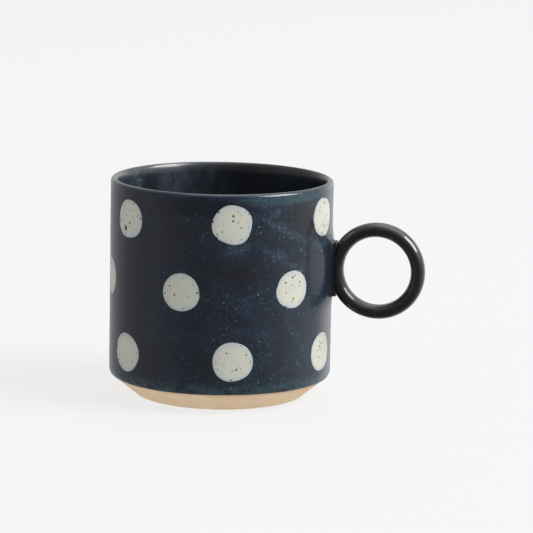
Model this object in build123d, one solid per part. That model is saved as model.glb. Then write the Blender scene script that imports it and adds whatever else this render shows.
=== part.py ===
from build123d import *
from math import atan2, cos, radians, sin
import os

# A thrown stoneware mug with a ring handle: a clay body, two coats of body glaze that meet on
# the lip, a ring of clay with a coat of its own, the pad of clay that joins it to the wall, and
# eighteen hand-dabbed spots of pale glaze let into the outer coat.
#
# Millimetres. The origin is the centre of the foot, +Z is up and the handle is towards +X.

# Driving dimensions -------------------------------------------------------------------------

HEIGHT = 88.0              # foot plane to the crest of the lip
BODY_DIAMETER = 90.0       # over the glaze
WALL = 3.2                 # glazed wall, outside to inside
GLAZE = 0.35               # thickness of every coat of glaze
FLOOR = 6.5                # foot plane to the glazed floor inside
INSIDE_CORNER = 9.0        # radius where the glazed floor turns up into the wall

FOOT_DIAMETER = 68.0       # outer edge of the foot
FOOT_EDGE = 0.6            # rounding of the foot's outer edge
SHOULDER_HEIGHT = 8.75     # where the foot's sloping side would meet the clay wall
SHOULDER_ROUND = 3.5       # rounding of that corner in the clay
RECESS_DIAMETER = 57.0     # the shallow hollow turned into the underside
RECESS_DEPTH = 1.5
RECESS_ROUND = 1.0
GLAZE_LINE_ANGLE = 41.0    # how far round the shoulder the outer coat runs, in degrees

RING_CENTRE_X = 64.4       # the ring's axis is parallel to Y
RING_CENTRE_Z = 53.7
RING_RADIUS = 16.6         # to the middle of the coil
COIL_THICKNESS = 5.8       # the coil's section, glazed, in the plane of the ring
COIL_WIDTH = 7.2           # and across it
COIL_ROUND = 2.6           # the rounding of its corners
SEAM_X = 48.0              # the ring's back is cut flat here and sits on the pad

PAD_WIDTH = 5.0            # glazed pad between wall and ring
PAD_HEIGHT = 22.7
PAD_CENTRE_Z = 53.7
PAD_CORNER = 1.6

SPOT_DEPTH = 3.0           # reach of a spot's cutter each side of the wall
SPOT_ROWS = (
    # name, radius, and where each spot was dabbed: degrees round the wall, height of its centre
    ("top", 7.9, (
        (-130.0, 75.0), (-70.1, 76.2), (-11.5, 75.9), (49.0, 75.4), (109.0, 76.0), (169.0, 75.5),
    )),
    ("middle", 7.65, (
        (-154.5, 49.2), (-96.0, 48.8), (-36.6, 49.2), (23.5, 48.7), (83.5, 49.3), (144.0, 48.9),
    )),
    ("bottom", 8.0, (
        (-131.8, 21.0), (-69.0, 21.7), (-11.3, 21.2), (50.0, 21.4), (110.0, 20.9), (170.0, 21.3),
    )),
)

# Worked out from them ------------------------------------------------------------------------

WALL_RADIUS = BODY_DIAMETER / 2 - GLAZE          # clay, outside
BORE_RADIUS = BODY_DIAMETER / 2 - WALL + GLAZE   # clay, inside
RIM = HEIGHT - GLAZE                             # clay, at the lip
LIP_CREST_RADIUS = BODY_DIAMETER / 2 - WALL / 2  # where the two coats meet
FOOT_RADIUS = FOOT_DIAMETER / 2
RECESS_RADIUS = RECESS_DIAMETER / 2


def round_corner(face, corner, radius):
    """Round the corner of a flat outline that is nearest to a point."""
    nearest = face.vertices().sort_by_distance(corner)[0]
    return fillet(nearest, radius)


def clay_section():
    """Half of the body cut down its axis: x is the radius and y the height."""
    outline = Polyline(
        (0, RECESS_DEPTH),
        (RECESS_RADIUS, RECESS_DEPTH),
        (RECESS_RADIUS, 0),
        (FOOT_RADIUS, 0),
        (WALL_RADIUS, SHOULDER_HEIGHT),
        (WALL_RADIUS, RIM),
        (BORE_RADIUS, RIM),
        (BORE_RADIUS, FLOOR - GLAZE),
        (0, FLOOR - GLAZE),
        close=True,
    )
    section = make_face(outline)
    lip_round = (WALL_RADIUS - BORE_RADIUS) / 2 - 0.01
    section = round_corner(section, (RECESS_RADIUS, RECESS_DEPTH), RECESS_ROUND)
    section = round_corner(section, (FOOT_RADIUS, 0), FOOT_EDGE)
    section = round_corner(section, (WALL_RADIUS, SHOULDER_HEIGHT), SHOULDER_ROUND)
    section = round_corner(section, (WALL_RADIUS, RIM), lip_round)
    section = round_corner(section, (BORE_RADIUS, RIM), lip_round)
    return round_corner(section, (BORE_RADIUS, FLOOR - GLAZE), INSIDE_CORNER + GLAZE)


def bare_zone():
    """The part of the section that is kept free of glaze: everything below the glaze line."""
    slope = atan2(SHOULDER_HEIGHT, WALL_RADIUS - FOOT_RADIUS)
    half_turn = (radians(90) - slope) / 2
    centre_r = WALL_RADIUS - SHOULDER_ROUND
    centre_z = SHOULDER_HEIGHT + SHOULDER_ROUND * sin(half_turn) / cos(half_turn)
    line = radians(GLAZE_LINE_ANGLE)
    reach = 2 * SHOULDER_ROUND
    inside_floor = (RECESS_DEPTH + FLOOR) / 2
    outline = Polyline(
        (centre_r, centre_z),
        (centre_r + reach * cos(line), centre_z - reach * sin(line)),
        (BODY_DIAMETER, -reach),
        (0, -reach),
        (0, inside_floor),
        (FOOT_RADIUS, inside_floor),
        close=True,
    )
    return make_face(outline)


def outer_side():
    """The part of the section outside the crest of the lip and the middle of the wall."""
    return Pos(LIP_CREST_RADIUS + HEIGHT / 2, HEIGHT / 2) * Rectangle(HEIGHT, 2 * HEIGHT)


def inner_side():
    """The part of the section from the axis out to the crest of the lip."""
    return Pos(LIP_CREST_RADIUS / 2, HEIGHT / 2) * Rectangle(LIP_CREST_RADIUS, 2 * HEIGHT)


def turned(section):
    """Turn a section about the mug's axis."""
    return revolve(Plane.XZ * section, Axis.Z)


def coil(shrink):
    """The ring handle's section, smaller all round by shrink."""
    return RectangleRounded(
        COIL_THICKNESS - 2 * shrink,
        COIL_WIDTH - 2 * shrink,
        COIL_ROUND - shrink,
    )


def ring(section):
    """Carry a section round the ring, and cut the ring's back flat at the seam."""
    middle = Plane(origin=(RING_CENTRE_X, 0, RING_CENTRE_Z), x_dir=(1, 0, 0), z_dir=(0, 0, 1))
    axis = Axis((RING_CENTRE_X, 0, RING_CENTRE_Z), (0, 1, 0))
    whole = revolve(middle * Pos(RING_RADIUS, 0) * section, axis)
    behind_seam = Pos(SEAM_X - HEIGHT / 2, 0, RING_CENTRE_Z) * Box(HEIGHT, HEIGHT, HEIGHT)
    return whole - behind_seam


def pad(shrink):
    """The joining pad, from the clay wall to the seam, smaller round its sides by shrink."""
    inside_wall = BORE_RADIUS
    start = Plane(origin=(inside_wall, 0, PAD_CENTRE_Z), x_dir=(0, 1, 0), z_dir=(1, 0, 0))
    outline = RectangleRounded(
        PAD_WIDTH - 2 * shrink,
        PAD_HEIGHT - 2 * shrink,
        PAD_CORNER - shrink,
    )
    block = extrude(start * outline, SEAM_X - inside_wall)
    return block - Cylinder(WALL_RADIUS, 3 * HEIGHT)


def spot_cutter(azimuth, height, radius):
    """A round bar that points out through the wall, as wide as a spot."""
    outward = (cos(radians(azimuth)), sin(radians(azimuth)), 0)
    inner = WALL_RADIUS - SPOT_DEPTH
    origin = (inner * outward[0], inner * outward[1], height)
    return extrude(Plane(origin=origin, z_dir=outward) * Circle(radius), 2 * SPOT_DEPTH)


def build():
    """Every piece of the mug by name."""
    clay = clay_section()
    glazed = offset(clay, GLAZE, kind=Kind.ARC)
    coats = glazed - clay - bare_zone()
    pad_clay = pad(GLAZE)

    pieces = {
        "stoneware_body": turned(clay),
        "inner_glaze": turned(coats & inner_side()),
        "handle_ring": ring(coil(GLAZE)),
        "handle_glaze": ring(coil(0) - coil(GLAZE)),
        "handle_pad": pad_clay,
    }
    outer_glaze = turned(coats & outer_side()) + pad(0) - pad_clay
    for row, radius, places in SPOT_ROWS:
        for number, (azimuth, height) in enumerate(places, start=1):
            cutter = spot_cutter(azimuth, height, radius)
            pieces[f"spot_{row}_{number}"] = outer_glaze & cutter
            outer_glaze = outer_glaze - cutter
    pieces["outer_glaze"] = outer_glaze
    return pieces


os.makedirs("parts", exist_ok=True)
for name, piece in build().items():
    export_step(piece, f"parts/{name}.step")
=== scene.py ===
from math import atan2, copysign, cos, exp, pi, radians, sin, sqrt, tau
from random import Random
import bmesh
import bpy
from mathutils import Matrix, Vector


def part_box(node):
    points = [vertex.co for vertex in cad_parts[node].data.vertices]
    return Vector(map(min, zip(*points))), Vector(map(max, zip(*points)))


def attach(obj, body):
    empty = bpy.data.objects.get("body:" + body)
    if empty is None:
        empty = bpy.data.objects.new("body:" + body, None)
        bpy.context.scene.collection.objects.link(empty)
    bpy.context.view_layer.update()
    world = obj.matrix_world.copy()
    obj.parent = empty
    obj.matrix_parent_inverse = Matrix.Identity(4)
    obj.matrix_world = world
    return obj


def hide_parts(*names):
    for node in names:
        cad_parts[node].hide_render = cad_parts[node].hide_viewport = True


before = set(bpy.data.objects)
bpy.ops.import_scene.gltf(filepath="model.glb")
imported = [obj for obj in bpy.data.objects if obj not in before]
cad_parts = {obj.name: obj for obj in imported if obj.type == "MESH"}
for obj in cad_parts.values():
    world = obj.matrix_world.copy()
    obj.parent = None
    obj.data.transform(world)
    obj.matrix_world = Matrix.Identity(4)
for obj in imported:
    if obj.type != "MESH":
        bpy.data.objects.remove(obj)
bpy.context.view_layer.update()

MM = 0.001

# Sizes read from the frame --------

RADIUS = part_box("outer_glaze")[1].y
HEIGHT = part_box("outer_glaze")[1].z
CORE_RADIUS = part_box("stoneware_body")[1].x
GLAZE = RADIUS - CORE_RADIUS
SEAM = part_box("handle_glaze")[0].x
RING_LOW, RING_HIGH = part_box("handle_glaze")
PAD_LOW, PAD_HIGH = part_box("handle_pad")
PAD_MIDDLE = (PAD_LOW.z + PAD_HIGH.z) / 2
PAD_HALF_HEIGHT = (PAD_HIGH.z - PAD_LOW.z) / 2

# Sizes of the body's section, as the CAD has them --------

LIP_ROUND = 1.6 * MM         # outside of the lip
LIP_TAPER = 4.5 * MM         # height over which the inside of the lip thins
WALL = 3.2 * MM
FLOOR = 6.5 * MM
INSIDE_CORNER = 9.0 * MM
FOOT_RADIUS = 34.0 * MM
RECESS_RADIUS = 28.5 * MM
RECESS_DEPTH = 1.5 * MM
SHOULDER_HEIGHT = 8.75 * MM  # where the sloping foot would meet the clay wall
SHOULDER_ROUND = 3.5 * MM    # rounding of that corner in the clay
GLAZE_LINE = radians(41)     # how far the outer coat runs round the shoulder

SHOULDER_SLOPE = atan2(SHOULDER_HEIGHT, CORE_RADIUS - FOOT_RADIUS)
SHOULDER_CENTRE = Vector((
    CORE_RADIUS - SHOULDER_ROUND,
    SHOULDER_HEIGHT + SHOULDER_ROUND * sin((pi / 2 - SHOULDER_SLOPE) / 2)
    / cos((pi / 2 - SHOULDER_SLOPE) / 2),
))
CREST_RADIUS = RADIUS - LIP_ROUND
HUB = 0.2 * MM  # a turned profile stops this far short of the axis

# How far the pot is from a perfect turned shape --------

OVAL = 0.05 * MM           # the body's ovalness at the lip
LIP_DIP = 0.0006           # the lip's dip on two sides, as a share of the height
THROWING_PITCH = 7.1 * MM  # from one throwing ring to the next outside
THROWING_DEPTH = 0.016 * MM
UNEVEN_DEPTH = 0.02 * MM   # slow unevenness of the glazed wall
INSIDE_PITCH = 9.3 * MM    # from one throwing ring to the next inside
INSIDE_DEPTH = 0.05 * MM
SWELL = 1.25 * MM          # how far the wall swells out at the handle's root
SWELL_WIDE = 17 * MM       # how far the swell runs round the wall each way
SWELL_FADE = 7 * MM        # and how far it takes to fade above and below the pad

# The grid that the wall is woven on --------

COLUMNS = 288
WALL_ROWS = 79  # as many as let a row run between the top spots and the pad
LIP_ROWS = 8
SHOULDER_ROWS = 8
WALL_TOP = HEIGHT - LIP_ROUND
ROW_STEP = (WALL_TOP - SHOULDER_CENTRE.y) / WALL_ROWS
COLUMN_STEP = tau * RADIUS / COLUMNS


# Meshes --------

class Sheet:
    """The points and faces of one piece, before it becomes a mesh."""

    def __init__(self):
        self.points = []
        self.faces = []
        self.edge = {}

    def add(self, point):
        self.points.append(point)
        return len(self.points) - 1

    def row(self, points):
        return [self.add(p) for p in points]

    def join(self, upper, lower):
        """Weave quads between two closed rows of as many points."""
        for a in range(len(upper)):
            b = (a + 1) % len(upper)
            self.faces.append((upper[a], lower[a], lower[b], upper[b]))

    def inward(self, outer, points):
        """Add a row inside another, woven to it, and give the new row."""
        inner = self.row(points)
        self.join(inner, outer)
        return inner

    def close(self, row, point, flip=False):
        """Fan from a closed row to one point."""
        tip = self.add(point)
        for a in range(len(row)):
            b = (a + 1) % len(row)
            self.faces.append((row[b], row[a], tip) if flip else (row[a], row[b], tip))

    def piece(self, name, thickness=0.0):
        """Make the object, faces outwards, and if asked give it that thickness inwards."""
        mesh = bpy.data.meshes.new(name)
        mesh.from_pydata([tuple(p) for p in self.points], [], self.faces)
        if self.edge:
            layer = mesh.attributes.new("edge", "FLOAT", "POINT")
            for index, value in self.edge.items():
                layer.data[index].value = value
        made = smooth_object(name, mesh)
        if thickness:
            thicken(made, thickness)
        return made


def smooth_object(name, mesh):
    made = bpy.data.objects.new(name, mesh)
    bpy.context.scene.collection.objects.link(made)
    mesh.shade_smooth()
    return made


def thicken(piece, thickness):
    """Give an open skin a thickness inwards, in its own mesh."""
    wall = piece.modifiers.new("wall", "SOLIDIFY")
    wall.thickness = thickness
    wall.offset = -1
    evaluated = piece.evaluated_get(bpy.context.evaluated_depsgraph_get())
    shape = bpy.data.meshes.new_from_object(evaluated)
    piece.modifiers.clear()
    piece.data = shape


def cylinder_point(radius, angle, height):
    """A point of the body, with the slight ovalness and uneven lip of a hand-made pot."""
    oval = OVAL * (1 + sin(2 * angle + 0.9)) * (height / HEIGHT)
    dip = LIP_DIP * (1 + sin(angle * 2 - 0.4)) * height
    return Vector(((radius - oval) * cos(angle), (radius - oval) * sin(angle), height - dip))


def throwing(angle, height):
    """How far the glazed wall sinks in at a place: faint throwing rings and slow unevenness."""
    rings = sin(tau * height / THROWING_PITCH + 0.8 * sin(angle + 1.1))
    slow = sin(3 * angle + tau * height / (41 * MM)) + sin(5 * angle - tau * height / (29 * MM))
    return THROWING_DEPTH * (rings - 1) + UNEVEN_DEPTH * (slow - 2)


def swell(angle, height):
    """How far the wall rises towards the handle, where the joint was smoothed over by hand."""
    across = abs((angle + pi) % tau - pi) * RADIUS
    past = abs(height - PAD_MIDDLE) - PAD_HALF_HEIGHT
    fade = min(1.0, max(0.0, 1 - past / SWELL_FADE))
    return SWELL * max(0.0, 1 - across / SWELL_WIDE) ** 1.5 * fade * fade * (3 - 2 * fade)


def column_angle(column):
    return tau * column / COLUMNS


def wall_height(row):
    """Height of a row of the straight wall, counted down from the lip."""
    return WALL_TOP - row * ROW_STEP


def wall_point(angle, height, sink=0.0):
    radius = RADIUS + throwing(angle, height) + swell(angle, height) - sink
    return cylinder_point(radius, angle, height)


def lathe(profile):
    """Rows of points for a profile of (radius, height) turned about the axis."""
    return [
        [cylinder_point(radius, column_angle(column), height) for column in range(COLUMNS)]
        for radius, height in profile
    ]


def arc(centre, radius, start, end, steps):
    """Points of a (radius, height) arc from one angle to another, both included."""
    turn = (end - start) / steps
    return [
        (centre[0] + radius * cos(start + k * turn), centre[1] + radius * sin(start + k * turn))
        for k in range(steps + 1)
    ]


def line(start, end, steps):
    """Points of a straight run, without its first."""
    return [
        (start[0] + (end[0] - start[0]) * k / steps, start[1] + (end[1] - start[1]) * k / steps)
        for k in range(1, steps + 1)
    ]


def bend(start, corner, end, steps):
    """Points of a smooth corner from start to end, without its first."""
    start, corner, end = Vector(start), Vector(corner), Vector(end)
    made = []
    for k in range(1, steps + 1):
        t = k / steps
        made.append(tuple(start * (1 - t) ** 2 + corner * 2 * t * (1 - t) + end * t ** 2))
    return made


# The body: clay and its two coats --------

FOOT_EDGE = 0.7 * MM     # roundings of the clay's edges: the foot's outer edge,
RECESS_EDGE = 0.5 * MM   # the edge that the recess makes in the foot,
RECESS_ROUND = 0.9 * MM  # and the recess's own corner


def turned_mark(point):
    """Fine turning marks on the bare clay under the shoulder."""
    radius, height = point
    if not 0.8 * MM < height < SHOULDER_HEIGHT - 1.2 * MM or radius < FOOT_RADIUS:
        return point
    fine, coarse = sin(tau * height / (0.93 * MM)), sin(tau * height / (1.71 * MM))
    return radius + 0.035 * MM * (fine + coarse - 2), height


def clay_cup():
    """The clay body, closed, from the middle of the floor inside round to the foot's recess."""
    bore = RADIUS - WALL + GLAZE
    floor = FLOOR - GLAZE
    rim = HEIGHT - GLAZE
    lip = (CORE_RADIUS - bore) / 2
    corner = INSIDE_CORNER + GLAZE
    profile = line((HUB, floor), (bore - corner, floor), 24)
    profile += arc((bore - corner, floor + corner), corner, -pi / 2, 0, 16)
    profile += line((bore, floor + corner), (bore, rim - LIP_TAPER), 30)
    for step in range(13, -1, -1):
        t = pi / 2 * step / 14
        profile.append((bore + lip - lip * sin(t), rim - LIP_TAPER * (1 - cos(t))))
    profile += arc((bore + lip, rim - lip), lip, pi / 2, 0, 8)[1:]
    profile += line((CORE_RADIUS, rim - lip), (CORE_RADIUS, SHOULDER_CENTRE.y), 60)
    profile += arc(SHOULDER_CENTRE, SHOULDER_ROUND, 0, SHOULDER_SLOPE - pi / 2, 12)[1:]
    slope = Vector((cos(SHOULDER_SLOPE), sin(SHOULDER_SLOPE)))
    foot_corner = Vector((FOOT_RADIUS, 0))
    edge_start = foot_corner + slope * FOOT_EDGE
    profile += line(profile[-1], edge_start, 44)
    profile += bend(edge_start, foot_corner, foot_corner - Vector((FOOT_EDGE, 0)), 6)
    profile += line(profile[-1], (RECESS_RADIUS + RECESS_EDGE, 0), 8)
    step_foot = Vector((RECESS_RADIUS, 0))
    profile += bend(profile[-1], step_foot, step_foot + Vector((0, 0.8 * RECESS_EDGE)), 4)
    step_top = Vector((RECESS_RADIUS, RECESS_DEPTH))
    profile += line(profile[-1], step_top - Vector((0, RECESS_ROUND)), 2)
    profile += bend(profile[-1], step_top, step_top - Vector((RECESS_ROUND, 0)), 6)
    profile += line(profile[-1], (HUB, RECESS_DEPTH), 24)
    sheet = Sheet()
    rows = [sheet.row(row) for row in lathe([turned_mark(p) for p in profile])]
    for upper, lower in zip(rows, rows[1:]):
        sheet.join(upper, lower)
    sheet.close(rows[0], Vector((0, 0, floor)))
    sheet.close(rows[-1], Vector((0, 0, RECESS_DEPTH)), flip=True)
    return sheet.piece("clay_cup")


def inner_coat():
    """The poured coat inside, from the crest of the lip to the middle of the floor."""
    bore = RADIUS - WALL
    profile = [
        (CREST_RADIUS - LIP_ROUND * sin(t), HEIGHT - LIP_TAPER * (1 - cos(t)))
        for t in (pi / 2 * k / 14 for k in range(15))
    ]
    profile += line(profile[-1], (bore, FLOOR + INSIDE_CORNER), 64)
    profile += arc((bore - INSIDE_CORNER, FLOOR + INSIDE_CORNER), INSIDE_CORNER, 0, -pi / 2, 20)[1:]
    profile += line(profile[-1], (2 * HUB, FLOOR), 28)
    sheet = Sheet()
    rows = []
    for radius, height in profile:
        row = []
        for column in range(COLUMNS):
            angle = column_angle(column)
            deep = min(1.0, (HEIGHT - height) / (12 * MM)) if height > FLOOR + 0.1 * MM else 0.0
            ripple = INSIDE_DEPTH * deep * sin(tau * height / INSIDE_PITCH + 0.7 * sin(angle))
            row.append(cylinder_point(radius + ripple, angle, height))
        rows.append(sheet.row(row))
    for upper, lower in zip(rows, rows[1:]):
        sheet.join(lower, upper)
    sheet.close(rows[-1], Vector((0, 0, FLOOR)))
    return sheet.piece("inner_coat", GLAZE)


class Patch:
    """A rectangle of the wall's grid that is woven another way, round a spot or the pad."""

    def __init__(self, left, right, bottom, top):
        self.left = int(left // COLUMN_STEP)
        self.right = -int(-right // COLUMN_STEP)
        self.top = int((WALL_TOP - top) // ROW_STEP)
        self.bottom = -int((bottom - WALL_TOP) // ROW_STEP)

    def border(self):
        """The grid places round the patch, anticlockwise seen from outside."""
        right_side = [(self.right, row) for row in range(self.bottom, self.top, -1)]
        top_side = [(column, self.top) for column in range(self.right, self.left, -1)]
        left_side = [(self.left, row) for row in range(self.top, self.bottom)]
        bottom_side = [(column, self.bottom) for column in range(self.left, self.right)]
        return right_side + top_side + left_side + bottom_side

    def inside(self):
        """The grid places strictly inside."""
        return {
            (column % COLUMNS, row)
            for column in range(self.left + 1, self.right)
            for row in range(self.top + 1, self.bottom)
        }

    def cells(self):
        """The grid's cells in it, each by its upper left place."""
        return {
            (column % COLUMNS, row)
            for column in range(self.left, self.right)
            for row in range(self.top, self.bottom)
        }


class Spot:
    """One dab of pale glaze: where the CAD has it, and its hand-made outline."""

    # (distance out from the outline, depth) of the rows of the coat that roll over to the edge
    BEADS = ((0.58 * MM, 0.0), (0.34 * MM, -0.01 * MM), (0.14 * MM, 0.02 * MM))
    EDGE_SINK = 0.07 * MM   # depth of the edge itself, where the dab begins
    FACE_SINK = 0.012 * MM  # depth of the dab's face
    RINGS = (
        # (distance in from the outline, depth, how much of the cooler shade of the edge, which at
        # the outline also brings on the painted shade of the rim)
        (0.0, EDGE_SINK, 1.0),
        (0.12 * MM, 0.035 * MM, 0.92),
        (0.35 * MM, 0.02 * MM, 0.8),
        (0.9 * MM, FACE_SINK, 0.5),
        (1.9 * MM, FACE_SINK, 0.15),
    )
    MARGIN = 0.02 * MM  # from the last bead to the edge of the patch
    NICK_WIDE = 0.05    # in radians round the outline
    OUT_OF_ROUND = {
        # how oval a spot in front is, how egg-shaped and how square, as shares of its radius,
        # and the way that each of the three is turned, in degrees
        "spot_top_1": ((0.040, 40), (0.020, 160), (0.015, 280)),
        "spot_top_2": ((0.010, 110), (0.020, 265), (0.025, 345)),
        "spot_top_3": ((0.030, 120), (0.010, 105), (0.005, 320)),
        "spot_middle_2": ((0.010, 90), (0.015, 205), (0.005, 195)),
        "spot_middle_3": ((0.020, 70), (0.010, 220), (0.005, 350)),
        "spot_bottom_1": ((0.030, 75), (0.005, 80), (0.010, 25)),
        "spot_bottom_2": ((0.015, 105), (0.015, 110), (0.010, 235)),
        "spot_bottom_3": ((0.030, 80), (0.010, 160), (0.010, 205)),
    }

    def __init__(self, node, seed):
        low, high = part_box(node)
        corners = [v.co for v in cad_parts[node].data.vertices]
        middle = sum(corners, Vector()) / len(corners)
        self.node = node
        self.height = (low.z + high.z) / 2
        self.radius = (high.z - low.z) / 2
        self.angle = atan2(middle.y, middle.x) % tau
        self.wobble(Random(seed))
        margin = self.BEADS[0][0] + self.MARGIN
        turns = [tau * k / 90 for k in range(90)]
        across = [(self.reach(t) + margin) * cos(t) for t in turns]
        up = [(self.reach(t) + margin) * sin(t) for t in turns]
        start = self.angle * RADIUS
        self.patch = Patch(
            start + min(across), start + max(across), self.height + min(up), self.height + max(up),
        )

    def wobble(self, random):
        """Choose the uneven outline: slow waves, and one or two small nicks."""
        if self.node in self.OUT_OF_ROUND:
            shapes = enumerate(self.OUT_OF_ROUND[self.node], start=2)
            slow = [(k, size, radians(turned)) for k, (size, turned) in shapes]
        else:
            slow = [
                (k, random.uniform(0.3, 1.0) * 0.045 / k, random.uniform(0, tau)) for k in (2, 3, 4)
            ]
        fine = [
            (k, random.uniform(0.4, 1.0) * 0.022 / k, random.uniform(0, tau)) for k in (5, 7, 9, 13)
        ]
        self.waves = [*slow, *fine]
        self.nicks = [
            (random.uniform(0, tau), random.uniform(0.3, 0.5) * MM)
            for _ in range(random.choice((0, 1, 1, 2)))
        ]

    def reach(self, turn):
        """Radius of the outline in a direction."""
        wave = sum(size * sin(k * turn + phase) for k, size, phase in self.waves)
        nick = 0.0
        for place, depth in self.nicks:
            away = (turn - place + pi) % tau - pi
            nick += depth * exp(-(away / self.NICK_WIDE) ** 2)
        return self.radius * (1 + wave) - nick

    def place(self, turn, distance):
        """(angle, height) of the point that far from the spot's centre in a direction."""
        return (
            self.angle + distance * cos(turn) / RADIUS,
            self.height + distance * sin(turn),
        )

    def turns(self):
        """The direction from the centre to each place of the border."""
        made = []
        for column, row in self.patch.border():
            across = (column_angle(column) - self.angle) * RADIUS
            made.append(atan2(wall_height(row) - self.height, across))
        return made

    def dab(self):
        """The spot itself: a thin disc that lies in its window, a hair below the dark coat."""
        sheet = Sheet()
        turns = self.turns()
        rows = []
        for inset, sink, edge in self.RINGS:
            points = [
                wall_point(*self.place(t, self.reach(t) - inset), sink) for t in turns
            ]
            rows.append(sheet.row(points))
            sheet.edge.update({index: edge for index in rows[-1]})
        last = self.RINGS[-1][0]
        for share in (0.8, 0.6, 0.4, 0.2):
            places = [self.place(t, (self.reach(t) - last) * share) for t in turns]
            rows.append(sheet.row([wall_point(*place, self.FACE_SINK) for place in places]))
        for outer, inner in zip(rows, rows[1:]):
            sheet.join(inner, outer)
        sheet.close(rows[-1], wall_point(self.angle, self.height, self.FACE_SINK))
        return sheet.piece(f"{self.node}_dab", GLAZE)


class PadWindow:
    """Where the joining pad leaves the wall, on the same grid as the spots."""

    FLARE_WIDE = 2.2 * MM   # how far the flare runs out along the wall at the sides
    FLARE_HIGH = 0.65 * MM  # and above and below
    FLARE_RISE = 1.2 * MM   # how far it climbs the pad
    FLARE_STEPS = 9
    CORNER = 1.6 * MM
    EDGE = 0.3 * MM         # rounding of the coat's edge at the seam
    SEAM_GAP = 0.02 * MM    # from the end of the coat to the seam
    CLAY_GAP = 0.05 * MM    # from the coat to the clay under it

    def __init__(self):
        self.half_width = PAD_HIGH.y + GLAZE
        self.half_height = PAD_HALF_HEIGHT + GLAZE
        self.height = PAD_MIDDLE
        wide, high = self.half_width + self.FLARE_WIDE, self.half_height + self.FLARE_HIGH
        self.patch = Patch(-wide, wide, self.height - high, self.height + high)

    def outline(self, wider, higher):
        """(across, height) of the pad's rounded outline, one point for each place of the border."""
        half_w, half_h = self.half_width + wider, self.half_height + higher
        corner = self.CORNER + min(wider, higher)
        patch_half = self.patch.right * COLUMN_STEP
        patch_top, patch_bottom = wall_height(self.patch.top), wall_height(self.patch.bottom)
        made = []
        for column, row in self.patch.border():
            x = column * COLUMN_STEP / patch_half * half_w
            rise = 2 * (wall_height(row) - patch_bottom) / (patch_top - patch_bottom) - 1
            z = rise * half_h
            inner = Vector((
                max(-half_w + corner, min(half_w - corner, x)),
                max(-half_h + corner, min(half_h - corner, z)),
            ))
            away = Vector((x, z)) - inner
            if away.length > 1e-9:
                away = away.normalized() * corner
            made.append((inner.x + away.x, self.height + inner.y + away.y))
        return made


LINE_THINS = 0.26 * MM  # how much thinner the outer coat is at the glaze line,
THINS_FROM = 0.72       # and the share of its way round the shoulder where that starts


def crest_rows():
    """(radius, height) down the outside of the lip, from its crest to the wall."""
    centre = (RADIUS - LIP_ROUND, HEIGHT - LIP_ROUND)
    return arc(centre, LIP_ROUND, pi / 2, 0, LIP_ROWS)[:-1]


def glaze_wave(angle):
    """How far past its line the dipped coat runs, as an angle round the shoulder."""
    slow = sin(2 * angle + 0.5) + 0.7 * sin(3 * angle + 2.0) + 0.45 * sin(7 * angle + 0.3)
    return radians(1.6) * slow + radians(0.5) * sin(17 * angle + 1.3)


def outer_coat(spots):
    """The dipped coat outside, with a window for each spot, carried on round the pad."""
    sheet = Sheet()
    pad = PadWindow()
    patches = [spot.patch for spot in spots] + [pad.patch]
    inside = set().union(*(patch.inside() for patch in patches))
    taken = set().union(*(patch.cells() for patch in patches))
    grid = {}
    for row in range(WALL_ROWS + 1):
        for column in range(COLUMNS):
            if (column, row) not in inside:
                point = wall_point(column_angle(column), wall_height(row))
                grid[column, row] = sheet.add(point)
    for row in range(WALL_ROWS):
        for column in range(COLUMNS):
            if (column, row) not in taken:
                after = (column + 1) % COLUMNS
                places = ((column, row), (column, row + 1), (after, row + 1), (after, row))
                sheet.faces.append(tuple(grid[place] for place in places))
    above = None
    for points in lathe(crest_rows()):
        below = sheet.row(points)
        if above:
            sheet.join(above, below)
        above = below
    sheet.join(above, [grid[column, 0] for column in range(COLUMNS)])
    add_shoulder(sheet, [grid[column, WALL_ROWS] for column in range(COLUMNS)])
    for spot in spots:
        add_window(sheet, grid, spot)
    add_pad(sheet, grid, pad)
    return sheet.piece("outer_coat", GLAZE)


def add_shoulder(sheet, bottom):
    """The coat round the shoulder, thinning to a soft uneven edge at the glaze line."""
    radius = SHOULDER_ROUND + GLAZE
    above = bottom
    for step in range(1, SHOULDER_ROWS + 1):
        share = step / SHOULDER_ROWS
        row = []
        for column in range(COLUMNS):
            angle = column_angle(column)
            turn = -(GLAZE_LINE + glaze_wave(angle)) * share
            thinned = max(0.0, (share - THINS_FROM) / (1 - THINS_FROM))
            sunk = radius - LINE_THINS * thinned ** 2
            row.append(cylinder_point(
                SHOULDER_CENTRE.x + sunk * cos(turn) + throwing(angle, SHOULDER_CENTRE.y),
                angle,
                SHOULDER_CENTRE.y + sunk * sin(turn),
            ))
        below = sheet.row(row)
        sheet.join(above, below)
        above = below


def add_window(sheet, grid, spot):
    """The wall round a spot: from the grid in to the spot's own outline."""
    outer = [grid[column % COLUMNS, row] for column, row in spot.patch.border()]
    turns = spot.turns()
    for distance, sink in spot.BEADS:
        places = [spot.place(t, spot.reach(t) + distance) for t in turns]
        outer = sheet.inward(outer, [wall_point(*place, sink) for place in places])
    places = [spot.place(t, spot.reach(t)) for t in turns]
    sheet.inward(outer, [wall_point(*place, spot.EDGE_SINK) for place in places])


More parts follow.
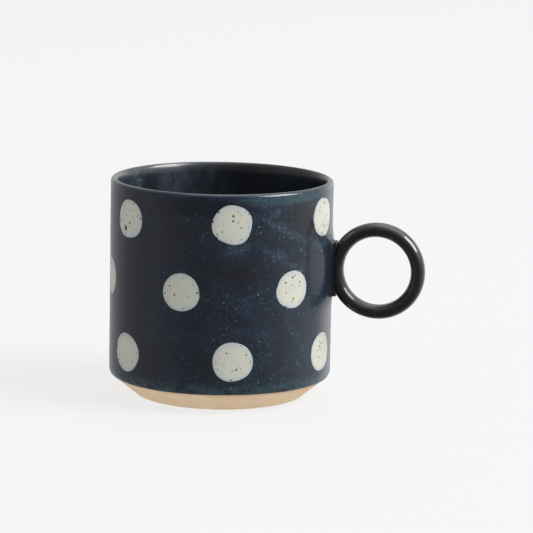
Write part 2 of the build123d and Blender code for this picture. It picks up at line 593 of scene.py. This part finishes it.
def add_pad(sheet, grid, pad):
    """The coat on the pad: a flare from the wall, straight sides, a soft edge at the seam."""
    outer = [grid[column % COLUMNS, row] for column, row in pad.patch.border()]
    for step in range(pad.FLARE_STEPS):
        turn = pi / 2 * step / pad.FLARE_STEPS
        left = 1 - sin(turn)
        rise = pad.FLARE_RISE * (1 - cos(turn))
        outline = pad.outline(pad.FLARE_WIDE * left, pad.FLARE_HIGH * left)
        outer = sheet.inward(outer, [wall_point(a / RADIUS, h, -rise) for a, h in outline])
    side_end = SEAM - pad.EDGE
    for share in (0.0, 0.5, 1.0):
        outer = sheet.inward(outer, pad_ring(pad, 0.0, share, side_end))
    for step in (1, 2, 3):
        turn = pi / 2 * step / 3
        shrink = pad.EDGE * (1 - cos(turn))
        end = side_end + (pad.EDGE - pad.SEAM_GAP) * sin(turn)
        outer = sheet.inward(outer, pad_ring(pad, -shrink, 1.0, end))
    for shrink in (0.7 * MM, 1.1 * MM):
        outer = sheet.inward(outer, pad_ring(pad, -shrink, 1.0, SEAM - pad.SEAM_GAP))


def pad_ring(pad, grow, share, end):
    """The pad's outline part of the way from the top of its flare to a plane x = end."""
    made = []
    for across, height in pad.outline(grow, grow):
        root = wall_point(across / RADIUS, height, -pad.FLARE_RISE)
        made.append(Vector((root.x + (end - root.x) * share, across, root.z)))
    return made


def pad_clay():
    """The clay of the pad, hidden under the coat, a hair short of the seam."""
    pad = PadWindow()
    sheet = Sheet()
    under = GLAZE + pad.CLAY_GAP
    root, neck, front = CORE_RADIUS - 0.6 * MM, CORE_RADIUS + 0.2 * MM, SEAM - under
    outline = pad.outline(-under, -under)
    rows = [sheet.row([Vector((x, a, h)) for a, h in outline]) for x in (root, neck, front)]
    for inner, outer in zip(rows, rows[1:]):
        sheet.join(outer, inner)
    sheet.close(rows[0], Vector((root, 0, pad.height)), flip=True)
    sheet.close(rows[-1], Vector((front, 0, pad.height)))
    return sheet.piece("pad_clay")


# The ring handle --------

RING_AROUND = 320
RING_SECTION = 96
COIL_HALF = 2.9 * MM       # half the coil's thickness in the ring's plane
COIL_SQUARENESS = 2.05     # 2 is an ellipse, more is squarer
COIL_UNEVEN = 0.012        # how much thinner the coil is in places, as a share
COAT_SOFTNESS = 0.38 * MM  # how softly the ring's glaze turns to its flat back,
CLAY_SOFTNESS = 0.1 * MM   # and how softly its clay does
COAT_CUT = 0.035 * MM      # the flat back is open behind a plane this far off the seam
CLAY_GAP = 0.03 * MM       # from the ring's glaze to the clay under it
CLAY_SHORT = 0.3 * MM      # how far short of the seam the clay ends


def ring_surface(half_thickness, half_width, seam, softness):
    """A closed coil bent into a ring, pressed flat against the seam plane at its back."""
    outside = (RING_HIGH.z - RING_LOW.z) / 2
    centre = Vector((RING_HIGH.x - outside, 0, (RING_HIGH.z + RING_LOW.z) / 2))
    middle = outside - COIL_HALF
    power = 2 / COIL_SQUARENESS
    bm = bmesh.new()
    rows = []
    for i in range(RING_AROUND):
        turn = tau * i / RING_AROUND
        radial = Vector((cos(turn), 0, sin(turn)))
        pinch = 1 - COIL_UNEVEN * (1 + sin(3 * turn + 0.7)) / 2
        row = []
        for j in range(RING_SECTION):
            t = tau * j / RING_SECTION
            out = copysign(abs(cos(t)) ** power, cos(t)) * half_thickness * pinch
            side = copysign(abs(sin(t)) ** power, sin(t)) * half_width * pinch
            point = centre + radial * (middle + out) + Vector((0, side, 0))
            past = point.x - seam
            point.x = seam + (past + sqrt(past * past + softness * softness)) / 2
            row.append(bm.verts.new(point))
        rows.append(row)
    for i in range(RING_AROUND):
        after = rows[(i + 1) % RING_AROUND]
        for j in range(RING_SECTION):
            k = (j + 1) % RING_SECTION
            bm.faces.new((rows[i][j], rows[i][k], after[k], after[j]))
    bmesh.ops.recalc_face_normals(bm, faces=bm.faces)
    return bm


def cut_at(bm, x):
    """Cut away what lies behind a plane across the X axis."""
    bmesh.ops.bisect_plane(
        bm,
        geom=bm.verts[:] + bm.edges[:] + bm.faces[:],
        plane_co=(x, 0, 0),
        plane_no=(-1, 0, 0),
        clear_outer=True,
    )


def piece_from(bm, name):
    mesh = bpy.data.meshes.new(name)
    bm.to_mesh(mesh)
    bm.free()
    return smooth_object(name, mesh)


def ring_coat():
    """The near-black coat on the ring, open at the seam."""
    bm = ring_surface(COIL_HALF, RING_HIGH.y, SEAM, COAT_SOFTNESS)
    cut_at(bm, SEAM + COAT_CUT)
    made = piece_from(bm, "ring_coat")
    thicken(made, GLAZE)
    return made


def ring_clay():
    """The clay inside the ring, a hair short of the seam."""
    under = GLAZE + CLAY_GAP
    bm = ring_surface(COIL_HALF - under, RING_HIGH.y - under, SEAM + CLAY_SHORT, CLAY_SOFTNESS)
    return piece_from(bm, "ring_clay")


# Materials --------

class Shade:
    """Adds nodes to one material."""

    def __init__(self, name):
        self.material = bpy.data.materials.new(name)
        self.material.use_nodes = True
        self.tree = self.material.node_tree
        self.surface = self.tree.nodes["Principled BSDF"]
        self.place = self.node("ShaderNodeTexCoord").outputs["Object"]
        split = self.node("ShaderNodeSeparateXYZ", self.place)
        self.x, self.y, self.z = split.outputs

    def node(self, kind, *inputs, **settings):
        made = self.tree.nodes.new(kind)
        for key, value in settings.items():
            setattr(made, key, value)
        for socket, value in zip(made.inputs, inputs):
            self.put(socket, value)
        return made

    def put(self, socket, value):
        if isinstance(value, bpy.types.NodeSocket):
            self.tree.links.new(value, socket)
        elif value is not None:
            socket.default_value = value

    def math(self, operation, a, b=None, c=None):
        return self.node("ShaderNodeMath", a, b, c, operation=operation).outputs[0]

    def angle(self):
        """The angle round the mug's axis, in radians, from the handle."""
        return self.math("ARCTAN2", self.y, self.x)

    def noise(self, size, detail=3.0, rough=0.55, warp=0.0, stretch=None, seed=0.0):
        """Noise with features about that many metres across."""
        place = self.place
        if stretch or seed:
            mapping = self.node("ShaderNodeMapping", place)
            self.put(mapping.inputs["Scale"], stretch or (1, 1, 1))
            self.put(mapping.inputs["Location"], (seed, seed * 0.7, -seed))
            place = mapping.outputs[0]
        made = self.node("ShaderNodeTexNoise")
        self.put(made.inputs["Vector"], place)
        self.put(made.inputs["Scale"], 1 / size)
        self.put(made.inputs["Detail"], detail)
        self.put(made.inputs["Roughness"], rough)
        self.put(made.inputs["Distortion"], warp)
        return made.outputs["Fac"]

    def specks(self, size, seed, least, widest, ragged=None):
        """Scattered round specks, at most one in each cell that is size metres across.

        Gives how far inside its speck a place is, the speck's radius, both in cells, and a
        random share for each speck.
        """
        mapping = self.node("ShaderNodeMapping", self.place)
        self.put(mapping.inputs["Location"], (seed, seed * 0.7, -seed))
        cells = self.node("ShaderNodeTexVoronoi")
        self.put(cells.inputs["Vector"], mapping.outputs[0])
        self.put(cells.inputs["Scale"], 1 / size)
        random = self.node("ShaderNodeSeparateColor", cells.outputs["Color"]).outputs
        radius = self.times(self.ramp(random[0], least, 1.0, False), widest)
        distance = cells.outputs["Distance"]
        if ragged is not None:
            distance = self.math("ADD", distance, ragged)
        return self.math("SUBTRACT", radius, distance), radius, random[1]

    def ramp(self, value, low, high, smooth=True):
        """0 below low, 1 above high."""
        made = self.node("ShaderNodeMapRange")
        made.interpolation_type = "SMOOTHSTEP" if smooth else "LINEAR"
        self.put(made.inputs["Value"], value)
        self.put(made.inputs["From Min"], low)
        self.put(made.inputs["From Max"], high)
        return made.outputs["Result"]

    def between(self, share, low, high):
        """A share turned into a value from low to high."""
        made = self.node("ShaderNodeMapRange")
        self.put(made.inputs["Value"], share)
        self.put(made.inputs["To Min"], low)
        self.put(made.inputs["To Max"], high)
        return made.outputs["Result"]

    def side(self, angle, low, high):
        """1 on the side of the mug at that angle from the handle, fading to 0 round it."""
        away = self.math("SUBTRACT", self.angle(), radians(angle))
        return self.ramp(self.math("COSINE", away), low, high)

    def mix(self, share, a, b):
        made = self.node("ShaderNodeMix", data_type="RGBA")
        self.put(made.inputs["Factor"], share)
        self.put(made.inputs["A"], colour(a))
        self.put(made.inputs["B"], colour(b))
        return made.outputs["Result"]

    def times(self, a, b):
        return self.math("MULTIPLY", a, b)

    def most(self, a, b):
        return self.math("MAXIMUM", a, b)

    def patch(self, angle, height, half_width, half_height, tilt=0.0, broken=None):
        """1 in the middle of an oval patch of the wall, 0 past its edge, which broken frays."""
        across = self.math("SUBTRACT", self.angle(), radians(angle))
        across = self.times(across, RADIUS)
        up = self.math("SUBTRACT", self.z, height)
        c, s = cos(radians(tilt)), sin(radians(tilt))
        along = self.math("ADD", self.times(across, c), self.times(up, s))
        off = self.math("SUBTRACT", self.times(up, c), self.times(across, s))
        along = self.math("DIVIDE", along, half_width)
        off = self.math("DIVIDE", off, half_height)
        square = self.math("ADD", self.times(along, along), self.times(off, off))
        if broken is not None:
            square = self.math("ADD", square, broken)
        return self.ramp(square, 1.0, 0.0)

    def bump(self, height, strength, distance, before=None):
        made = self.node("ShaderNodeBump")
        self.put(made.inputs["Strength"], strength)
        self.put(made.inputs["Distance"], distance)
        self.put(made.inputs["Height"], height)
        if before is not None:
            self.put(made.inputs["Normal"], before)
        return made.outputs["Normal"]

    def finish(self, base, roughness, normal=None, **constants):
        self.put(self.surface.inputs["Base Color"], base)
        self.put(self.surface.inputs["Roughness"], roughness)
        if normal is not None:
            self.put(self.surface.inputs["Normal"], normal)
        for name, value in constants.items():
            self.surface.inputs[name.replace("_", " ")].default_value = value
        return self.material


def colour(value):
    """A colour as Blender wants it, if it isn't a socket."""
    if isinstance(value, bpy.types.NodeSocket):
        return value
    return (*value, 1.0)


# The outer glaze's colours
INK = (0.007, 0.012, 0.027)
DARK_PLUM = (0.0125, 0.0112, 0.0168)
INDIGO = (0.0135, 0.0158, 0.0325)
# the glaze's bluer break with a painted sheen, on the side facing the key light
SIDE_BLUE_AND_SHEEN = (0.0155, 0.026, 0.044)
DRIFT_BLUE = (0.0155, 0.03, 0.056)
PLUM = (0.0165, 0.0135, 0.0185)
BAND_TEAL = (0.037, 0.086, 0.108)
STREAK_BLUE = (0.045, 0.086, 0.118)
HAZE_TEAL = (0.042, 0.082, 0.11)
FRECKLE = (0.17, 0.26, 0.295)
# painted shade for the band under the lip on the front
FRONT_SHADE_BLACK = (0.004, 0.006, 0.011)
LINE_BROWN = (0.015, 0.0105, 0.009)
LIP_BROWN = (0.032, 0.029, 0.028)
PAD_GREY = (0.017, 0.0185, 0.0215)


def outer_glaze_material():
    """Blue-black reactive glaze: indigo and plum clouds, teal bands, blue runs and freckles."""
    m = Shade("outer_glaze")
    clouds = m.ramp(m.noise(17 * MM, 3, 0.55, 0.4), 0.40, 0.62)
    base = m.mix(clouds, INK, DARK_PLUM)
    base = m.mix(m.times(m.side(-138, 0.45, 1.0), 0.75), base, INDIGO)
    # Partly painted light: the side facing the key light is painted lighter and bluer, partly the
    # glaze's own bluer break and partly a painted sheen; the drift and the freckles' crowd below
    # lean to it too.
    blue_break_and_sheen = m.side(-38, 0.2, 1.0)
    drift = m.ramp(m.noise(13 * MM, 5, 0.6, 0.6, (1, 1, 1.4), 0.31), 0.44, 0.72)
    drift = m.times(drift, m.math("MULTIPLY_ADD", blue_break_and_sheen, 0.55, 0.35))
    base = m.mix(m.math("MULTIPLY_ADD", blue_break_and_sheen, 0.40, 0.08), base, SIDE_BLUE_AND_SHEEN)
    base = m.mix(drift, base, DRIFT_BLUE)
    plum = m.most(
        m.patch(-62, 57 * MM, 17 * MM, 8.5 * MM),
        m.patch(-26, 76 * MM, 18 * MM, 9 * MM, -20),
    )
    base = m.mix(m.times(plum, 0.65), base, PLUM)

    lip_band = m.times(
        m.patch(-42, 85.5 * MM, 26 * MM, 3.0 * MM),
        m.ramp(m.noise(2.8 * MM, 5, 0.7, 0.6, (1, 1, 2.0)), 0.26, 0.58),
    )
    foot_band = m.times(
        m.ramp(m.z, 14 * MM, 9 * MM),
        m.ramp(m.noise(2.8 * MM, 5, 0.7, 0.5, (1, 1, 1.4), 0.17), 0.30, 0.66),
    )
    bands = m.most(lip_band, foot_band)
    base = m.mix(m.times(bands, 0.85), base, BAND_TEAL)
    fray = m.math("MULTIPLY_ADD", m.noise(3.2 * MM, 6, 0.75, 0.8), -4.8, 2.7)
    rising = m.patch(-67, 66.5 * MM, 9.5 * MM, 2.5 * MM, 20, fray)
    falling = m.patch(-46, 63.2 * MM, 16 * MM, 3.1 * MM, -29, fray)
    upper = m.patch(-40, 72.8 * MM, 17 * MM, 2.6 * MM, -27, fray)
    root = m.patch(-16, 65.4 * MM, 8 * MM, 2.6 * MM, 0, fray)
    branch = m.patch(-48, 79.5 * MM, 5 * MM, 2.4 * MM, 55, fray)
    streaks = m.most(m.most(rising, falling), m.most(m.most(upper, root), branch))
    grain = m.ramp(m.noise(1.5 * MM, 4, 0.65, 0.4, None, 0.55), 0.40, 0.62)
    streaks = m.times(streaks, m.math("MULTIPLY_ADD", grain, 0.62, 0.20))
    base = m.mix(streaks, base, STREAK_BLUE)

    cluster = m.ramp(m.noise(13 * MM, 3, 0.55, 0.3, None, 0.73), 0.36, 0.56)
    cluster = m.times(cluster, m.math("MULTIPLY_ADD", blue_break_and_sheen, 0.75, 0.25))
    cluster = m.times(cluster, m.math("MULTIPLY_ADD", plum, -0.6, 1.0))
    crowd = m.most(cluster, m.times(m.most(bands, streaks), 0.9))
    haze = m.ramp(m.noise(1.1 * MM, 3, 0.6, 0.2), 0.50, 0.70)
    base = m.mix(m.times(m.times(crowd, haze), 0.55), base, HAZE_TEAL)
    for size, seed, least, widest, share in (
        (2.7 * MM, 0.11, 0.45, 0.18, 0.85),
        (1.6 * MM, 0.29, 0.35, 0.23, 0.75),
        (1.1 * MM, 0.41, 0.30, 0.27, 0.35),
    ):
        inside, reach, luck = m.specks(size, seed, least, widest)
        freckle = m.times(m.ramp(inside, -0.05, 0.08), m.ramp(reach, 0.02, 0.08))
        freckle = m.times(freckle, m.times(crowd, m.math("MULTIPLY_ADD", luck, 0.7, 0.3)))
        base = m.mix(m.times(freckle, share), base, FRECKLE)

    # Painted shade: a band under the lip on the front, towards the camera, is darkened to
    # blue-black.
    dark = m.times(m.patch(-86, 82.5 * MM, 26 * MM, 5 * MM), 0.6)
    base = m.mix(dark, base, FRONT_SHADE_BLACK)
    edge = m.math("SUBTRACT", m.z, m.times(m.noise(6 * MM, 2, 0.5), 0.5 * MM))
    edge = m.ramp(edge, 8.45 * MM, 7.75 * MM)
    base = m.mix(m.times(edge, 0.9), base, LINE_BROWN)
    crest = m.ramp(m.z, HEIGHT - 0.9 * MM, HEIGHT)
    base = m.mix(m.times(crest, 0.6), base, LIP_BROWN)
    on_pad = m.ramp(m.x, RADIUS + 1.2 * MM, RADIUS + 2.1 * MM)
    base = m.mix(m.times(on_pad, 0.85), base, PAD_GREY)

    normal = m.bump(m.noise(1.6 * MM, 2, 0.5, 0.0, None, 0.5), 0.06, 0.12 * MM)
    normal = m.bump(m.noise(6.5 * MM, 2, 0.5, 0.0, None, 0.9), 0.14, 0.25 * MM, normal)
    rough = m.between(m.noise(2.4 * MM, 4, 0.6, 0.3, None, 0.6), 0.32, 0.44)
    lip = m.ramp(m.z, HEIGHT - 2.2 * MM, HEIGHT - 1.0 * MM)
    rough = m.math("SUBTRACT", rough, m.times(lip, 0.18))
    return m.finish(
        base, rough, normal,
        Specular_IOR_Level=0.42, Coat_Weight=0.5, Coat_Roughness=0.10, Coat_IOR=1.5,
    )


# The inner glaze's colours
POURED_INK = (0.0045, 0.0085, 0.017)
POURED_GREY = (0.0075, 0.008, 0.011)
# painted light on the inside wall that faces the key light
POURED_BLUE_PAINTED_LIGHT = (0.017, 0.025, 0.038)
POURED_DRIFT = (0.034, 0.06, 0.08)
# painted reflection below the inner highlight
POURED_PAINTED_REFLECTION = (0.056, 0.07, 0.098)
POURED_DARK = (0.006, 0.0085, 0.015)
POURED_MARK = (0.11, 0.16, 0.17)
POURED_FRECKLE = (0.1, 0.17, 0.2)


def inner_glaze_material():
    """The same dark glaze poured inside, with drifts of blue up one side; that side faces the key
    light and is painted lighter and bluer, with a painted reflection under its lip.
    """
    m = Shade("inner_glaze")
    clouds = m.ramp(m.noise(18 * MM, 4, 0.6, 0.5, None, 0.2), 0.4, 0.62)
    base = m.mix(clouds, POURED_INK, POURED_GREY)
    # Painted light: the inside wall facing the key light is painted lighter and bluer; the drift
    # and the freckles below lean to this side too.
    left = m.side(170, 0.1, 0.95)
    base = m.mix(m.times(left, 0.9), base, POURED_BLUE_PAINTED_LIGHT)
    drift = m.ramp(m.noise(7 * MM, 6, 0.65, 0.9, (1, 1, 0.6), 0.47), 0.46, 0.70)
    drift = m.times(drift, m.math("MULTIPLY_ADD", left, 0.6, 0.25))
    base = m.mix(drift, base, POURED_DRIFT)
    # Painted reflection: a torn pale-blue patch under the lip on the lit side stands for the key
    # light's reflection spreading below the highlight.
    torn = m.ramp(m.noise(3 * MM, 5, 0.7, 0.8), 0.30, 0.62)
    painted_reflection = m.times(m.patch(133, 80 * MM, 11 * MM, 9 * MM), torn)
    base = m.mix(m.times(painted_reflection, 0.65), base, POURED_PAINTED_REFLECTION)
    dark = m.patch(149, 79 * MM, 6 * MM, 9 * MM)
    base = m.mix(m.times(dark, 0.8), base, POURED_DARK)
    flecked = m.ramp(m.noise(1.7 * MM, 5, 0.7, 0.5), 0.46, 0.60)
    marks = m.times(m.patch(162, 80 * MM, 6 * MM, 8 * MM), flecked)
    base = m.mix(m.times(marks, 0.8), base, POURED_MARK)
    freckle = m.ramp(m.specks(1.9 * MM, 0.37, 0.55, 0.20)[0], -0.03, 0.07)
    base = m.mix(m.times(m.times(freckle, left), 0.5), base, POURED_FRECKLE)
    crest = m.ramp(m.z, HEIGHT - 1.6 * MM, HEIGHT)
    base = m.mix(m.times(crest, 0.6), base, LIP_BROWN)
    normal = m.bump(m.noise(1.6 * MM, 2, 0.5), 0.06, 0.12 * MM)
    normal = m.bump(m.noise(7 * MM, 2, 0.5, 0.0, None, 0.9), 0.14, 0.25 * MM, normal)
    return m.finish(
        base, m.between(m.noise(3 * MM, 4, 0.6), 0.38, 0.48), normal,
        Specular_IOR_Level=0.55, Coat_Weight=0.95, Coat_Roughness=0.18, Coat_IOR=1.5,
    )


# The handle glaze's colours
HANDLE_BLACK = (0.0035, 0.0036, 0.004)
HANDLE_BROWN = (0.0085, 0.008, 0.008)
HANDLE_SPECK = (0.06, 0.062, 0.065)


def handle_glaze_material():
    """Near-black glaze with a faint brown break and smoother gloss."""
    m = Shade("handle_glaze")
    clouds = m.ramp(m.noise(7 * MM, 5, 0.6, 0.6, None, 0.4), 0.4, 0.66)
    base = m.mix(clouds, HANDLE_BLACK, HANDLE_BROWN)
    speck = m.ramp(m.specks(1.7 * MM, 0.21, 0.6, 0.16)[0], 0.0, 0.05)
    base = m.mix(m.times(speck, 0.3), base, HANDLE_SPECK)
    normal = m.bump(m.noise(1.2 * MM, 2, 0.5), 0.06, 0.10 * MM)
    normal = m.bump(m.noise(4.5 * MM, 2, 0.5, 0.0, None, 0.9), 0.10, 0.2 * MM, normal)
    return m.finish(
        base, m.between(m.noise(2 * MM, 4, 0.6), 0.34, 0.46), normal,
        Specular_IOR_Level=0.6, Coat_Weight=1.0, Coat_Roughness=0.05, Coat_IOR=1.55,
    )


# The pale glaze's colours
CREAM = (0.625, 0.615, 0.5)
CREAM_GREY = (0.6, 0.61, 0.54)
CREAM_BUFF = (0.45, 0.4, 0.27)
COOL_EDGE = (0.42, 0.48, 0.54)
IRON_HALO = (0.3, 0.24, 0.14)
IRON = (0.07, 0.048, 0.026)
BLOTCH = (0.085, 0.052, 0.028)
# painted shade in the ring at each spot's sunken outline
PAINTED_SHADE_RIM = (0.07, 0.072, 0.07)


def spot_glaze_material():
    """Pale glaze: cream in the middle, cooler at the edge, with brown iron specks."""
    m = Shade("spot_glaze")
    edge = m.node("ShaderNodeAttribute", attribute_name="edge").outputs["Fac"]
    cloud = m.ramp(m.noise(5 * MM, 4, 0.6, 0.4), 0.36, 0.64)
    base = m.mix(cloud, CREAM, CREAM_GREY)
    soft = m.ramp(m.noise(1.5 * MM, 3, 0.6, 0.3, None, 0.3), 0.54, 0.76)
    base = m.mix(m.times(soft, 0.30), base, CREAM_BUFF)
    base = m.mix(m.times(edge, 0.80), base, COOL_EDGE)

    ragged = m.times(m.math("SUBTRACT", m.noise(0.5 * MM, 2, 0.6), 0.5), 0.14)
    for size, seed, least, widest in (
        (2.6 * MM, 0.52, 0.15, 0.21),
        (1.9 * MM, 0.83, 0.30, 0.23),
        (1.3 * MM, 0.14, 0.55, 0.25),
    ):
        inside, reach, luck = m.specks(size, seed, least, widest, ragged)
        halo = m.times(m.ramp(inside, -0.08, 0.02), m.ramp(reach, 0.0, 0.04))
        base = m.mix(m.times(halo, 0.45), base, IRON_HALO)
        dark = m.times(m.ramp(inside, -0.02, 0.04), m.ramp(luck, 0.0, 0.5))
        dark = m.times(dark, m.ramp(reach, 0.02, 0.06))
        base = m.mix(m.times(dark, 0.92), base, IRON)

    blotch = m.patch(-133.2, 71.0 * MM, 0.95 * MM, 1.45 * MM, 12)
    base = m.mix(m.ramp(blotch, 0.0, 0.45), base, BLOTCH)
    # Painted shade: a patchy dark ring at each spot's sunken outline.
    rim = m.ramp(m.math("ADD", edge, m.times(m.noise(0.9 * MM, 3, 0.6), 0.28)), 1.12, 1.20)
    base = m.mix(m.times(rim, 0.75), base, PAINTED_SHADE_RIM)

    normal = m.bump(m.noise(0.9 * MM, 3, 0.5), 0.10, 0.12 * MM)
    return m.finish(
        base, m.between(m.noise(1.8 * MM, 4, 0.6), 0.40, 0.55), normal,
        Specular_IOR_Level=0.4, Coat_Weight=0.25, Coat_Roughness=0.2, Coat_IOR=1.5,
    )


# The bare clay's colours
CLAY_BUFF = (0.76, 0.57, 0.365)
CLAY_LIGHT = (0.82, 0.64, 0.44)
CLAY_SAND = (0.62, 0.45, 0.275)
CLAY_PALE = (0.88, 0.76, 0.59)
CLAY_IRON = (0.23, 0.13, 0.065)
CLAY_FLASH = (0.43, 0.27, 0.15)


def clay_material():
    """Buff stoneware clay, fired but bare: fine sandy grain with a few iron grains."""
    m = Shade("bare_stoneware")
    cloud = m.ramp(m.noise(9 * MM, 4, 0.6, 0.3), 0.36, 0.66)
    base = m.mix(cloud, CLAY_BUFF, CLAY_LIGHT)
    sand = m.ramp(m.noise(0.55 * MM, 3, 0.65), 0.36, 0.66)
    base = m.mix(m.times(sand, 0.45), base, CLAY_SAND)
    pale = m.ramp(m.noise(0.8 * MM, 2, 0.6, 0.0, None, 0.45), 0.62, 0.74)
    base = m.mix(m.times(pale, 0.5), base, CLAY_PALE)
    speck = m.ramp(m.specks(1.9 * MM, 0.61, 0.6, 0.13)[0], 0.0, 0.05)
    base = m.mix(m.times(speck, 0.55), base, CLAY_IRON)
    flash = m.ramp(m.z, 6.6 * MM, 8.2 * MM)
    base = m.mix(m.times(flash, 0.5), base, CLAY_FLASH)
    normal = m.bump(m.noise(0.35 * MM, 3, 0.6), 0.35, 0.10 * MM)
    return m.finish(base, m.between(sand, 0.78, 0.92), normal, Specular_IOR_Level=0.25)


# Studio --------

def direction(azimuth, elevation):
    a, e = radians(azimuth), radians(elevation)
    return Vector((cos(a) * cos(e), sin(a) * cos(e), sin(e)))


def make_camera():
    """A long lens a little above the rim, with the handle to the right."""
    azimuth, elevation, roll = radians(14.4), radians(10.8), radians(1.0)
    distance, aim_right, aim_up = 1.2, 18.4 * MM, 7.7 * MM
    back = Vector((sin(azimuth) * cos(elevation), -cos(azimuth) * cos(elevation), sin(elevation)))
    centre = Vector((0, 0, HEIGHT / 2))
    level = Vector((cos(azimuth), sin(azimuth), 0))
    aim = centre + level * aim_right + back.cross(level) * aim_up
    place = centre + back * distance
    forward = (aim - place).normalized()
    right = forward.cross(Vector((0, 0, 1))).normalized()
    up = right.cross(forward)
    rolled_right = right * cos(roll) + up * sin(roll)
    rolled_up = up * cos(roll) - right * sin(roll)
    data = bpy.data.cameras.new("camera")
    data.lens = 200
    data.sensor_width = 36
    data.clip_start = 0.05
    data.clip_end = 60
    camera = bpy.data.objects.new("camera", data)
    turn = Matrix((rolled_right, rolled_up, -forward)).transposed().to_4x4()
    camera.matrix_world = Matrix.Translation(place) @ turn
    bpy.context.scene.collection.objects.link(camera)
    bpy.context.scene.camera = camera


def soft_box(name, azimuth, elevation, distance, width, height, power):
    data = bpy.data.lights.new(name, "AREA")
    data.shape = "RECTANGLE"
    data.size = width
    data.size_y = height
    data.energy = power
    light = bpy.data.objects.new(name, data)
    out = direction(azimuth, elevation)
    light.location = Vector((0, 0, HEIGHT / 2)) + out * distance
    light.rotation_euler = out.to_track_quat("Z", "Y").to_euler()
    light.visible_camera = False
    bpy.context.scene.collection.objects.link(light)


def make_world():
    """A pale studio round the mug: brighter towards the window side, +X, dimmer in front."""
    world = bpy.data.worlds.new("studio")
    world.use_nodes = True
    tree = world.node_tree
    back = tree.nodes["Background"]
    ray = tree.nodes.new("ShaderNodeTexCoord").outputs["Generated"]

    def lobe(axis, start, end):
        dot = tree.nodes.new("ShaderNodeVectorMath")
        dot.operation = "DOT_PRODUCT"
        tree.links.new(ray, dot.inputs[0])
        dot.inputs[1].default_value = axis
        ramp = tree.nodes.new("ShaderNodeMapRange")
        ramp.interpolation_type = "SMOOTHSTEP"
        tree.links.new(dot.outputs["Value"], ramp.inputs["Value"])
        ramp.inputs["From Min"].default_value = start
        ramp.inputs["From Max"].default_value = end
        return ramp.outputs["Result"]

    def add(a, b, share):
        made = tree.nodes.new("ShaderNodeMath")
        made.operation = "MULTIPLY_ADD"
        tree.links.new(a, made.inputs[0])
        made.inputs[1].default_value = share
        if isinstance(b, float):
            made.inputs[2].default_value = b
        else:
            tree.links.new(b, made.inputs[2])
        return made.outputs[0]

    level = add(lobe(direction(82, 0), -0.1, 0.95), 0.10, 0.55)
    level = add(lobe(direction(68, 0), 0.88, 1.0), level, 0.45)
    level = add(lobe(direction(0, 0), 0.75, 1.0), level, 0.25)
    level = add(lobe(direction(-166, 0), 0.4, 1.0), level, 0.19)
    level = add(lobe(direction(0, 90), 0.3, 1.0), level, 0.35)
    tree.links.new(level, back.inputs["Strength"])
    back.inputs["Color"].default_value = (0.97, 0.985, 1.0, 1)
    bpy.context.scene.world = world


def make_floor():
    """A pale seamless floor that glows a little, so the shadow on it stays soft."""
    bm = bmesh.new()
    bmesh.ops.create_grid(bm, x_segments=8, y_segments=8, size=8.0)
    floor = piece_from(bm, "floor")
    floor.location.z = -0.01 * MM
    m = Shade("floor_paper")
    tooth = m.noise(40 * MM, 3, 0.5)
    base = m.mix(tooth, (0.128, 0.128, 0.128), (0.132, 0.132, 0.132))
    m.finish(base, 0.9, None, Specular_IOR_Level=0.0, Emission_Strength=0.765)
    m.surface.inputs["Emission Color"].default_value = (1, 1, 1, 1)
    floor.data.materials.append(m.material)
    floor.visible_glossy = False


# The build --------

def stand_for(piece, material, slot, *nodes):
    """Finish a piece: its material, its place in the frame and the CAD nodes it stands for."""
    piece.data.materials.clear()
    piece.data.materials.append(material)
    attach(piece, "root")
    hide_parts(*nodes)


clay = clay_material()
spot_glaze = spot_glaze_material()
spots = [
    Spot(f"spot_{row}_{number}", seed=100 * band + number)
    for band, row in enumerate(("top", "middle", "bottom"))
    for number in range(1, 7)
]
stand_for(clay_cup(), clay, "bare_stoneware", "stoneware_body")
stand_for(pad_clay(), clay, "bare_stoneware", "handle_pad")
stand_for(ring_clay(), clay, "bare_stoneware", "handle_ring")
stand_for(outer_coat(spots), outer_glaze_material(), "outer_glaze", "outer_glaze")
stand_for(inner_coat(), inner_glaze_material(), "inner_glaze", "inner_glaze")
stand_for(ring_coat(), handle_glaze_material(), "handle_glaze", "handle_glaze")
for spot in spots:
    stand_for(spot.dab(), spot_glaze, "spot_glaze", spot.node)

make_camera()
make_world()
make_floor()
soft_box("key", azimuth=-2, elevation=40, distance=5.0, width=2.8, height=2.6, power=245)
soft_box("top", azimuth=60, elevation=80, distance=5.0, width=4.4, height=4.4, power=60)
bpy.context.scene.view_settings.view_transform = "Standard"
